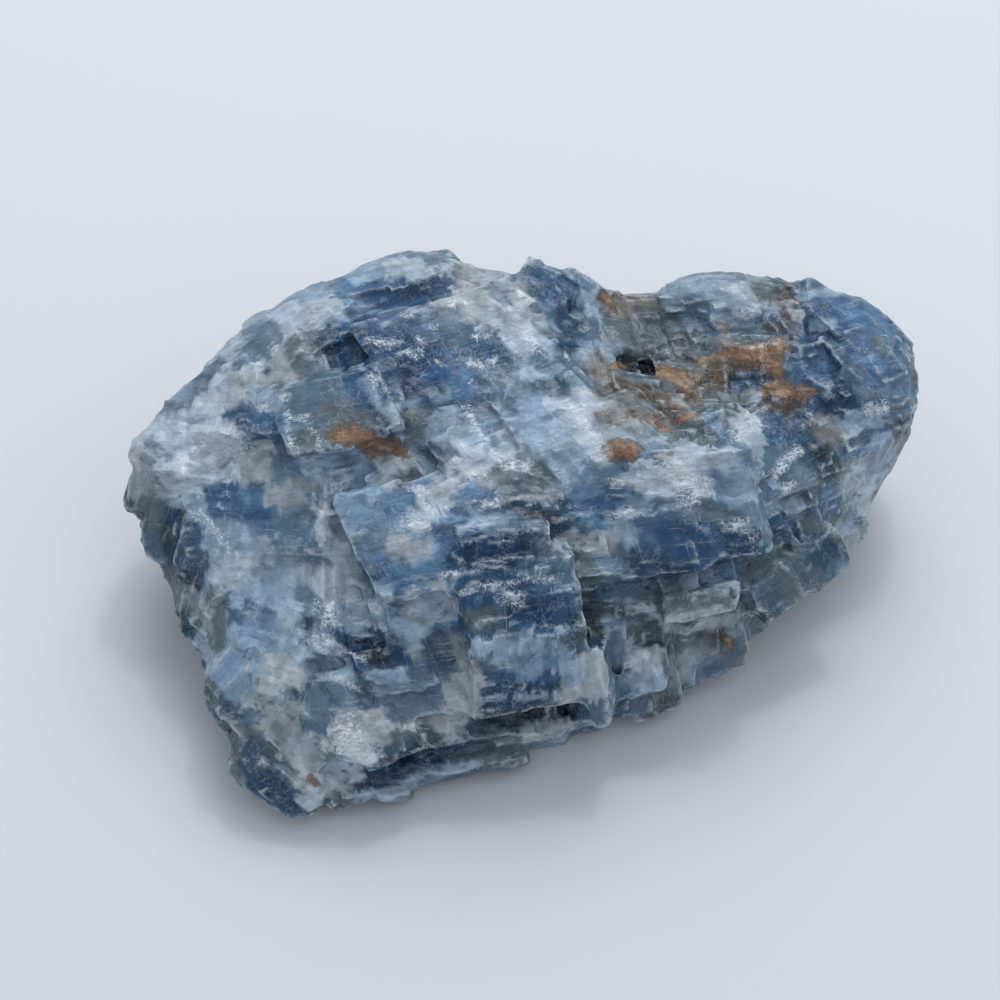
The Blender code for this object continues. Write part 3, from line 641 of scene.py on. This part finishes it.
        ("bone", 3, 345, 735, 370, 730), ("bone", 2.4, 390, 720, 420, 720),
        ("frost", 1.5, 345, 725, 355, 760), ("frost", 1.4, 350, 760, 370, 755),
        ("bone", 2, 310, 770, 330, 780), ("frost", 1, 325, 745, 335, 750), ("pale", 1.6, 310, 800, 325, 795),
        ("moss", 0.9, 330, 760, 340, 750), ("stain", 0.6, 310, 779, 315, 782),
        ("slate", 1.8, 400, 710, 430, 700), ("frost", 0.6, 410, 726, 418, 724),
        ("pale", 2.7, 310, 765, 350, 760), ("pale", 1.25, 328, 776, 358, 770, 334, 766),
    ],
    "front shelf": [
        # the ink and coal strokes are painted shade in the groove along the shelf
        ("haze", 1, 360, 798, 420, 785, 470, 765), ("ink", 1.5, 370, 778, 420, 760, 450, 748),
        ("coal", 0.8, 380, 766, 440, 742), ("moss", 2, 470, 755, 520, 745), ("bone", 1.8, 540, 735, 560, 725),
        ("haze", 1.5, 560, 740, 575, 745), ("slate", 1.8, 590, 735, 600, 745),
        ("fern", 1, 500, 725, 515, 730), ("fern", 1.7, 398, 744, 424, 736),
    ],
    "lower right": [
        ("pale", 1.8, 630, 655, 650, 660), ("frost", 0.8, 620, 665, 645, 655),
        ("haze", 2, 640, 680, 655, 685), ("navy", 0.8, 625, 690, 633, 695), ("lichen", 2, 680, 668, 695, 665),
        # the coal stroke is painted shade in the hollow beside the stair block
        ("slate", 2, 705, 670, 720, 675), ("moss", 3, 700, 640, 660, 640), ("coal", 2, 590, 610, 600, 625),
        ("fern", 2, 600, 650, 580, 640), ("moss", 1.6, 615, 620, 625, 615),
        ("slate", 2.4, 760, 600, 780, 590), ("smoke", 2, 790, 590, 810, 585),
        ("slate", 3, 750, 640, 770, 640), ("fern", 1.1, 760, 620, 790, 620),
        ("umber", 0.8, 718, 635, 722, 640), ("stain", 0.6, 727, 638, 730, 645),
        ("bone", 0.8, 705, 625, 735, 618), ("frost", 0.4, 745, 615, 765, 610),
        ("haze", 1.5, 610, 625, 620, 660),
    ],
    "right plate": [
        # the first dusk stroke is a painted shadow under the plate
        ("dusk", 1.3, 600, 590, 640, 588), ("slate", 2.6, 620, 580, 640, 570),
        ("navy", 3.4, 660, 525, 690, 530), ("ink", 2.6, 650, 565, 670, 575), ("navy", 3, 700, 555, 740, 550),
        ("ink", 1.8, 735, 545, 752, 550), ("moss", 1.4, 715, 510, 725, 520),
        ("frost", 0.9, 728, 528, 742, 526), ("frost", 0.5, 742, 526, 755, 535),
        ("haze", 1.6, 700, 582, 732, 585), ("lichen", 3, 670, 605, 700, 600),
        ("moss", 1.6, 660, 600, 680, 600), ("pale", 0.6, 645, 605, 665, 625, 690, 632, 720, 610),
        ("ink", 3.6, 655, 540, 690, 530), ("navy", 3.8, 650, 515, 690, 508),
        ("dusk", 2.2, 668, 512, 694, 507), ("smoke", 1.9, 690, 592, 712, 586),
        ("smoke", 1.3, 706, 588, 726, 598),
    ],
}

# The colours laid on the stone
# Every stroke is followed along the surface that the camera sees there. A point takes a stroke by
# the middle of the cleavage cell that it lies in, so that colours end on cleavage planes.
STROKE_STEP = 3
STROKE_REACH, STROKE_RIM = 1.25, 0.16
BROAD_STROKE, FINE_STROKE = 2.2, 0.9
BROAD_COVER, FINE_COVER = 0.9, 0.75
LARGE_CELL, SMALL_CELL = (4.5, 2.6, 3.4), (1.7, 1.1, 1.4)
CELL_PULL = 0.8
LIGHT_GAIN, SHEEN, DEEPEST = 1.29, 0.018, 0.003
BORDER_STEPS = 6
# the tones that cloud every crystal, the size of their clouds in mm and the seed of each
CLOUDS = [("haze", 10, 12), ("dusk", 8, 44), ("moss", 12, 50), ("bone", 6, 57)]


def linear(tone):
    """The stone's own colour where it is seen in a tone, without the light and the sheen on it."""
    shade = np.array(TONES[tone]) / 255
    depth = np.where(shade > 0.04045, ((shade + 0.055) / 1.055) ** 2.4, shade / 12.92)
    return np.maximum(depth * LIGHT_GAIN - SHEEN, DEEPEST)


def seen_at(u, v):
    """The point of the stone that the camera sees at a pixel of the photograph."""
    side = (u - PHOTO_SIDE / 2) / PIXELS_PER_MM * MM
    rise = (PHOTO_SIDE / 2 - v) / PIXELS_PER_MM * MM
    return surface.ray_cast(eye, -view_back * CAMERA_DISTANCE + view_right * side + view_up * rise)[0]


def cell_drift(places, size):
    """Moves each place most of the way to the middle of its cleavage cell, and gives each cell a
    number of its own."""
    edges = np.array(lattices)[owner]
    counted = np.einsum("nij,nj->ni", np.linalg.inv(edges), places) / (np.array(size) * MM)
    middles = np.floor(counted) + 0.5
    moved = np.einsum("nij,nj->ni", edges, middles * np.array(size) * MM)
    number = np.sin(middles @ np.array([12.9898, 78.233, 37.719]) + owner * 4.1) * 43758.5453
    return places + (moved - places) * CELL_PULL, number - np.floor(number)


surface = BVHTree.FromPolygons(points.tolist(), [tuple(face.vertices) for face in stone.data.polygons])
wavy = points + drift_at(points, 3 * MM, 30) * 0.3 * MM
large_cells, large_number = cell_drift(wavy, LARGE_CELL)
small_cells, small_number = cell_drift(wavy, SMALL_CELL)
broad_tree = tree_of(large_cells + drift_at(points, 2.6 * MM, 14) * 0.6 * MM)
middle_tree = tree_of(small_cells + drift_at(points, 1.6 * MM, 14) * 0.4 * MM)
fine_tree = tree_of(points + drift_at(points, 1.2 * MM, 18) * 0.3 * MM)

grain = noise_at(points, 5 * MM, 8) * 0.5 + noise_at(points, 1.6 * MM, 9) * 0.3
grain += (large_number - 0.5) * 0.6
crystal_tones = np.array([linear(tone) for *_, tone in CRYSTALS.values()])
colour = crystal_tones[crystal_of(large_cells)] * (0.6 + 0.8 * np.clip(0.5 + grain, 0, 1)[:, None])
for tone, size, seed in CLOUDS:
    clouded = noise_at(large_cells, size * MM, seed) * 1.4 + (small_number - 0.5) * 0.5 - 0.15
    share = clouded.clip(0, 0.6)[:, None]
    colour = colour * (1 - share) + linear(tone) * share


def under_stroke(half_width, route):
    """The points of the stone that a stroke reaches, and how far out in it each of them lies."""
    reach = half_width * STROKE_REACH * MM
    near_tree = middle_tree if half_width > FINE_STROKE else fine_tree
    if half_width > BROAD_STROKE:
        near_tree = broad_tree
    nearest = {}
    for (u0, v0), (u1, v1) in zip(route, route[1:]):
        steps = max(1, round(math.hypot(u1 - u0, v1 - v0) / max(STROKE_STEP, half_width * 2)))
        for step in range(steps + 1):
            along = step / steps
            place = seen_at(u0 + (u1 - u0) * along, v0 + (v1 - v0) * along)
            if place is None:
                continue
            for _, index, distance in near_tree.find_range(place, reach):
                nearest[index] = min(distance, nearest.get(index, reach))
    reached = np.fromiter(nearest.keys(), int, len(nearest))
    return reached, np.fromiter(nearest.values(), float, len(nearest)) / reach


drawn = {"frost": np.zeros(len(points)), "stain": np.zeros(len(points))}
strokes = [stroke for group in MARKINGS.values() for stroke in group]
for tone, half_width, *pixels in sorted(strokes, key=lambda stroke: -stroke[1]):
    reached, away = under_stroke(half_width, list(zip(pixels[::2], pixels[1::2])))
    if tone in drawn:
        drawn[tone][reached] = np.maximum(drawn[tone][reached], 1 - away * away)
        continue
    cover = np.clip((1 - away) / STROKE_RIM, 0, 1)
    cover *= BROAD_COVER if half_width > FINE_STROKE else FINE_COVER
    cover = (cover * (0.8 + 0.2 * small_number[reached]))[:, None]
    colour[reached] = colour[reached] * (1 - cover) + linear(tone) * cover
# every cleavage cell a little lighter or darker: partly a tone of its own, partly painted shade for how each
# facet takes the light
colour *= (0.76 + 0.28 * large_number + 0.2 * small_number)[:, None]

at_border = np.zeros(len(points))
at_border[ends[owner[ends[:, 0]] != owner[ends[:, 1]]].ravel()] = 1
border = at_border
for _ in range(BORDER_STEPS):
    total = np.bincount(ends[:, 0], border[ends[:, 1]], len(points))
    total += np.bincount(ends[:, 1], border[ends[:, 0]], len(points))
    border = np.maximum(at_border, total / count[:, 0])

laid_on = {
    "depth colour and painted shade": colour,
    "frost": drawn["frost"],
    "stain": drawn["stain"],
    # pale worn edges: partly real fracture whitening, partly a painted highlight along every sharp edge
    "worn and highlight": np.clip((stand_out[EDGE_STEPS] - 0.015) / 0.04, 0, 1),
    # painted shade: the deeper a point lies in a hollow or groove, the darker it is drawn
    "hollow": np.clip(-stand_out[NEAR_STEPS] / 0.5, 0, 0.5) + np.clip(-stand_out[FAR_STEPS] / 1.8, 0, 0.5),
    "whole": 1 - np.clip(border * 1.5, 0, 1),
    "along crystal": np.einsum("nij,nj->ni", np.linalg.inv(np.array(lattices)[owner]), points) / MM,
}

# Fewer triangles
# The fine mesh is thinned, and crumbs that hang free of the stone or lie inside it are deleted.
# Every point that is left takes the values of the nearest point of the fine mesh.
MOST_TRIANGLES = 194000
SOFT_ANGLE = math.radians(14)
fine_points = tree_of(points)
only(stone)
thin = stone.modifiers.new("thin", "DECIMATE")
thin.ratio = MOST_TRIANGLES / (2 * len(stone.data.polygons))
bpy.ops.object.modifier_apply(modifier=thin.name)
bpy.ops.object.mode_set(mode="EDIT")
bpy.ops.mesh.select_mode(type="VERT")
bpy.ops.mesh.select_all(action="DESELECT")
bpy.ops.object.mode_set(mode="OBJECT")
stone.data.vertices[int(vectors(stone.data.vertices, "co")[:, 2].argmax())].select = True
bpy.ops.object.mode_set(mode="EDIT")
bpy.ops.mesh.select_linked()
bpy.ops.mesh.select_all(action="INVERT")
bpy.ops.mesh.delete(type="VERT")
bpy.ops.object.mode_set(mode="OBJECT")
bpy.ops.object.shade_smooth_by_angle(angle=SOFT_ANGLE)
kept = np.array([fine_points.find(point)[1] for point in vectors(stone.data.vertices, "co")])
for name, rows in laid_on.items():
    kind, field = ("FLOAT", "value") if rows.ndim == 1 else ("FLOAT_VECTOR", "vector")
    layer = stone.data.attributes.new(name, kind, "POINT")
    layer.data.foreach_set(field, rows[kept].astype(np.float32).ravel())

# The stone's material
# Clouded blue depth under a broken surface: pale cleavage streaks along each crystal, frosted edges
# that also carry a painted highlight, white specks where it is crushed, painted glints and painted
# shade, and glassy faces between them.
material = bpy.data.materials.new("blue_calcite")
material.use_nodes = True
shader = material.node_tree.nodes["Principled BSDF"]


def node(kind, **settings):
    made = material.node_tree.nodes.new(kind)
    for name, value in settings.items():
        setattr(made, name, value)
    return made


def link(source, target):
    material.node_tree.links.new(source, target)


def fill(sockets, values):
    """Sets each socket to its number or colour, or links it to its source."""
    for socket, value in zip(sockets, values):
        if isinstance(value, (int, float)):
            socket.default_value = value
        elif isinstance(value, tuple):
            socket.default_value = (*value, 1) if len(socket.default_value) > len(value) else value
        elif value is not None:
            link(value, socket)


def reading(name, output):
    return node("ShaderNodeAttribute", attribute_name=name).outputs[output]


def calculate(operation, *values, clamp=True):
    made = node("ShaderNodeMath", operation=operation, use_clamp=clamp)
    fill(made.inputs, values)
    return made.outputs[0]


def times(*values, clamp=True):
    return calculate("MULTIPLY", *values, clamp=clamp)


def plus(*values, clamp=True):
    return calculate("ADD", *values, clamp=clamp)


def combine(operation, *values):
    made = node("ShaderNodeVectorMath", operation=operation)
    fill(made.inputs, values)
    return made.outputs["Value" if operation == "DOT_PRODUCT" else "Vector"]


def level(value, low, high):
    """Stretches the values between two levels to 0 to 1."""
    spread = node("ShaderNodeMapRange")
    spread.inputs["From Min"].default_value = low
    spread.inputs["From Max"].default_value = high
    link(value, spread.inputs["Value"])
    return spread.outputs["Result"]


def cloud(coordinates, scale, detail, rough, low, high, stretch=(1, 1, 1), twist=0):
    """Noise between two levels, stretched to 0 to 1."""
    made = node("ShaderNodeTexNoise")
    settings = {"Scale": scale, "Detail": detail, "Roughness": rough, "Distortion": twist}
    for name, value in settings.items():
        made.inputs[name].default_value = value
    link(combine("MULTIPLY", coordinates, stretch), made.inputs["Vector"])
    return level(made.outputs["Fac"], low, high)


def blend(mode, share, under, over):
    """One colour laid over another by a share."""
    made = node("ShaderNodeMix", data_type="RGBA", blend_type=mode)
    fill([socket for socket in made.inputs if socket.enabled], (share, under, over))
    return [socket for socket in made.outputs if socket.enabled][0]


place = node("ShaderNodeTexCoord").outputs["Object"]
crystal_place = reading("along crystal", "Vector")
worn_edge_and_highlight_mask = reading("worn and highlight", "Fac")
painted_hollow_shade = reading("hollow", "Fac")
whole = reading("whole", "Fac")
stain_soft = reading("stain", "Fac")
frost_and_glint_soft = reading("frost", "Fac")
wobble = node("ShaderNodeTexNoise")
wobble.inputs["Scale"].default_value = 0.25
wobble.inputs["Detail"].default_value = 3
link(crystal_place, wobble.inputs["Vector"])
bent = combine("ADD", crystal_place, combine("MULTIPLY", wobble.outputs["Color"], (2.5, 2.5, 2.5)))
wobbled = combine("MULTIPLY", wobble.outputs["Color"], (0.7, 0.7, 0.7))
nearly_straight = combine("ADD", crystal_place, wobbled)


def facet(size):
    """A number for each cleavage cell of about that size in mm, and how its face is tilted."""
    scaled = combine("MULTIPLY", bent, tuple(1 / side for side in size))
    cell = combine("FLOOR", scaled)
    made = node("ShaderNodeTexWhiteNoise", noise_dimensions="3D")
    link(cell, made.inputs["Vector"])
    inside = combine("SUBTRACT", combine("SUBTRACT", scaled, cell), (0.5, 0.5, 0.5))
    tilt = combine("SUBTRACT", made.outputs["Color"], (0.5, 0.5, 0.5))
    return made.outputs["Value"], combine("DOT_PRODUCT", inside, tilt)


def cleavage_lines(axis, spacing, width):
    """Thin traces of the cleavage planes that cut one axis of the crystal."""
    parts = node("ShaderNodeSeparateXYZ")
    link(nearly_straight, parts.inputs["Vector"])
    counted = calculate("FRACT", times(parts.outputs[axis], 1 / spacing, clamp=False))
    return level(calculate("PINGPONG", counted, 0.5, clamp=False), width / spacing, 0.3 * width / spacing)


def half_shown(mask, ragged, amount):
    """Turns a soft mask into one with a ragged border."""
    uneven = times(calculate("SUBTRACT", ragged, 0.5, clamp=False), amount, clamp=False)
    return plus(mask, uneven, clamp=False)


# the clouded depth, a little lighter or darker in every cleavage cell: partly a tone of its own, partly
# painted shade for how each facet takes the light
large_facet, large_lean = facet((4.2, 2.6, 3.2))
small_facet, small_lean = facet((1.5, 0.9, 1.2))
facet_tone_and_shade = plus(times(large_facet, 0.55), times(small_facet, 0.45))
mottle = cloud(place, 420, 6, 0.7, 0.3, 0.7)
body = blend("MULTIPLY", 1.0, reading("depth colour and painted shade", "Color"),
             blend("MIX", facet_tone_and_shade, (0.76, 0.76, 0.76), (1.24, 1.24, 1.24)))
body = blend("MULTIPLY", 1.0, body, blend("MIX", mottle, (0.8, 0.8, 0.81), (1.2, 1.2, 1.2)))

# pale streaks along the crystal, and light and dark traces of its cleavage planes
streak = cloud(crystal_place, 1.8, 3, 0.6, 0.58, 0.7, (0.12, 1, 1))
streak_zone = cloud(place, 130, 2, 0.5, 0.45, 0.6)
body = blend("MIX", times(times(streak, streak_zone), 0.3), body, (0.42, 0.52, 0.62))
lines = plus(cleavage_lines(0, 3.1, 0.07), cleavage_lines(1, 2.3, 0.07))
line_break = times(cloud(place, 520, 4, 0.7, 0.46, 0.56), whole)
line_zone = times(cloud(place, 160, 4, 0.7, 0.46, 0.6), line_break)
body = blend("MIX", times(times(lines, line_zone), 0.6), body, (0.5, 0.6, 0.7))
dark_zone = times(cloud(place, 110, 4, 0.7, 0.52, 0.6), whole)
dark_lines = times(cleavage_lines(2, 4.2, 0.14), dark_zone)
body = blend("MULTIPLY", times(dark_lines, 0.6), body, (0.3, 0.36, 0.42))

# white specks and threads, dark pinpricks of painted shade between them, and pale worn edges that also carry
# a painted highlight
ragged = cloud(crystal_place, 3.4, 6, 0.75, 0.3, 0.7, (0.35, 1, 1))
swirl = cloud(place, 520, 3, 0.6, 0, 1, twist=1.6)
threads = level(calculate("ABSOLUTE", calculate("SUBTRACT", swirl, 0.5, clamp=False)), 0.024, 0.006)
squiggle = calculate("MAXIMUM", threads, times(cloud(place, 1100, 4, 0.75, 0.56, 0.64, twist=2.2), 0.7))
crushed = cloud(place, 230, 4, 0.7, 0.47, 0.6)
speck_share = times(squiggle, plus(times(crushed, 0.34), times(worn_edge_and_highlight_mask, 0.35)))
body = blend("MIX", speck_share, body, (0.5, 0.6, 0.69))
shadowed = cloud(place, 1300, 4, 0.75, 0.46, 0.38, twist=1.8)
body = blend("MULTIPLY", times(shadowed, times(crushed, 0.55)), body, (0.4, 0.5, 0.6))
# pale worn edges: partly whitened by wear, partly a painted highlight
worn_edge_and_highlight_share = times(times(worn_edge_and_highlight_mask, cloud(place, 700, 4, 0.7, 0.4, 0.6)), 0.7)
body = blend("MIX", worn_edge_and_highlight_share, body, (0.56, 0.66, 0.74))

# iron stains with a dark rim, crushed white patches and painted glints, and painted shade in hollows
stain_mask = times(half_shown(stain_soft, ragged, 1.2), level(stain_soft, 0.02, 0.2))
stain_grain = cloud(place, 520, 6, 0.8, 0.36, 0.66, twist=1.2)
stain_tone = blend("MIX", stain_grain, (0.13, 0.07, 0.035), (0.5, 0.32, 0.21))
body = blend("MIX", times(level(stain_mask, 0.15, 0.5), 0.8), body, (0.085, 0.06, 0.04))
body = blend("MIX", times(level(stain_mask, 0.45, 0.8), 0.85), body, stain_tone)
# crushed white frost, and painted glints where the strokes mark them
body = blend("MIX", times(frost_and_glint_soft, 0.22), body, (0.5, 0.6, 0.7))
frost_and_glint_patch = level(half_shown(frost_and_glint_soft, ragged, 1.7), 0.75, 1)
frost_and_glint_mask = times(level(frost_and_glint_soft, 0.02, 0.3), calculate("MAXIMUM", squiggle, frost_and_glint_patch))
body = blend("MIX", times(frost_and_glint_mask, 0.85), body, (0.72, 0.79, 0.86))
# painted shade: hollows and grooves are drawn darker and bluer
body = blend("MULTIPLY", times(painted_hollow_shade, 0.75), body, (0.24, 0.32, 0.4))
link(body, shader.inputs["Base Color"])

# glassy and dull places, tilted facets, ridges along the crystal and pits
haze = cloud(place, 260, 4, 0.6, 0.35, 0.65)
link(plus(plus(times(haze, 0.3), times(worn_edge_and_highlight_share, 0.3)), 0.1), shader.inputs["Roughness"])
shader.inputs["IOR"].default_value = 1.6
shader.inputs["Specular IOR Level"].default_value = 0.24
leans = plus(times(large_lean, 0.9, clamp=False), times(small_lean, 0.4, clamp=False), clamp=False)
ridges = times(cloud(crystal_place, 2.2, 4, 0.6, 0.3, 0.7, (0.1, 1, 1)), 0.035)
pits = times(cloud(place, 1500, 4, 0.6, 0.3, 0.7), 0.05)
bump = node("ShaderNodeBump")
bump.inputs["Strength"].default_value = 0.8
bump.inputs["Distance"].default_value = MM
height = plus(plus(leans, ridges, clamp=False), pits, clamp=False)
link(times(height, whole, clamp=False), bump.inputs["Height"])
link(bump.outputs["Normal"], shader.inputs["Normal"])
stone.data.materials.append(material)

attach(stone, "root")
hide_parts("calcite_chunk")

# The paper and the light
# Plain pale paper, a broad soft light from above and behind, a small one beside it that makes the
# glints, and a weaker one from the front.
PAPER_SIZE = 3
only(stone)
bpy.ops.mesh.primitive_plane_add(size=PAPER_SIZE, location=(0, 0, 0))
paper = bpy.context.object
paper.name = "paper"
paper_material = bpy.data.materials.new("pale_paper")
paper_material.use_nodes = True
paper_shader = paper_material.node_tree.nodes["Principled BSDF"]
paper_shader.inputs["Base Color"].default_value = (0.72, 0.75, 0.79, 1)
paper_shader.inputs["Roughness"].default_value = 0.9
paper.data.materials.append(paper_material)


def soft_light(name, place, size, energy):
    light = bpy.data.objects.new(name, bpy.data.lights.new(name, "AREA"))
    light.data.shape = "DISK"
    light.data.size = size
    light.data.energy = energy
    light.location = place
    light.rotation_euler = (-Vector(place)).to_track_quat("-Z", "Y").to_euler()
    bpy.context.scene.collection.objects.link(light)


soft_light("window", (0.12, 0.7, 0.85), 0.9, 6)
soft_light("gap", (0.15, 0.45, 0.85), 0.1, 0.7)
soft_light("lamp", (0.4, -0.25, 0.95), 0.8, 0.8)
world = bpy.data.worlds.new("room")
world.use_nodes = True
world.node_tree.nodes["Background"].inputs["Color"].default_value = (0.92, 0.96, 1, 1)
world.node_tree.nodes["Background"].inputs["Strength"].default_value = 0.53
bpy.context.scene.world = world
bpy.context.scene.view_settings.view_transform = "Standard"
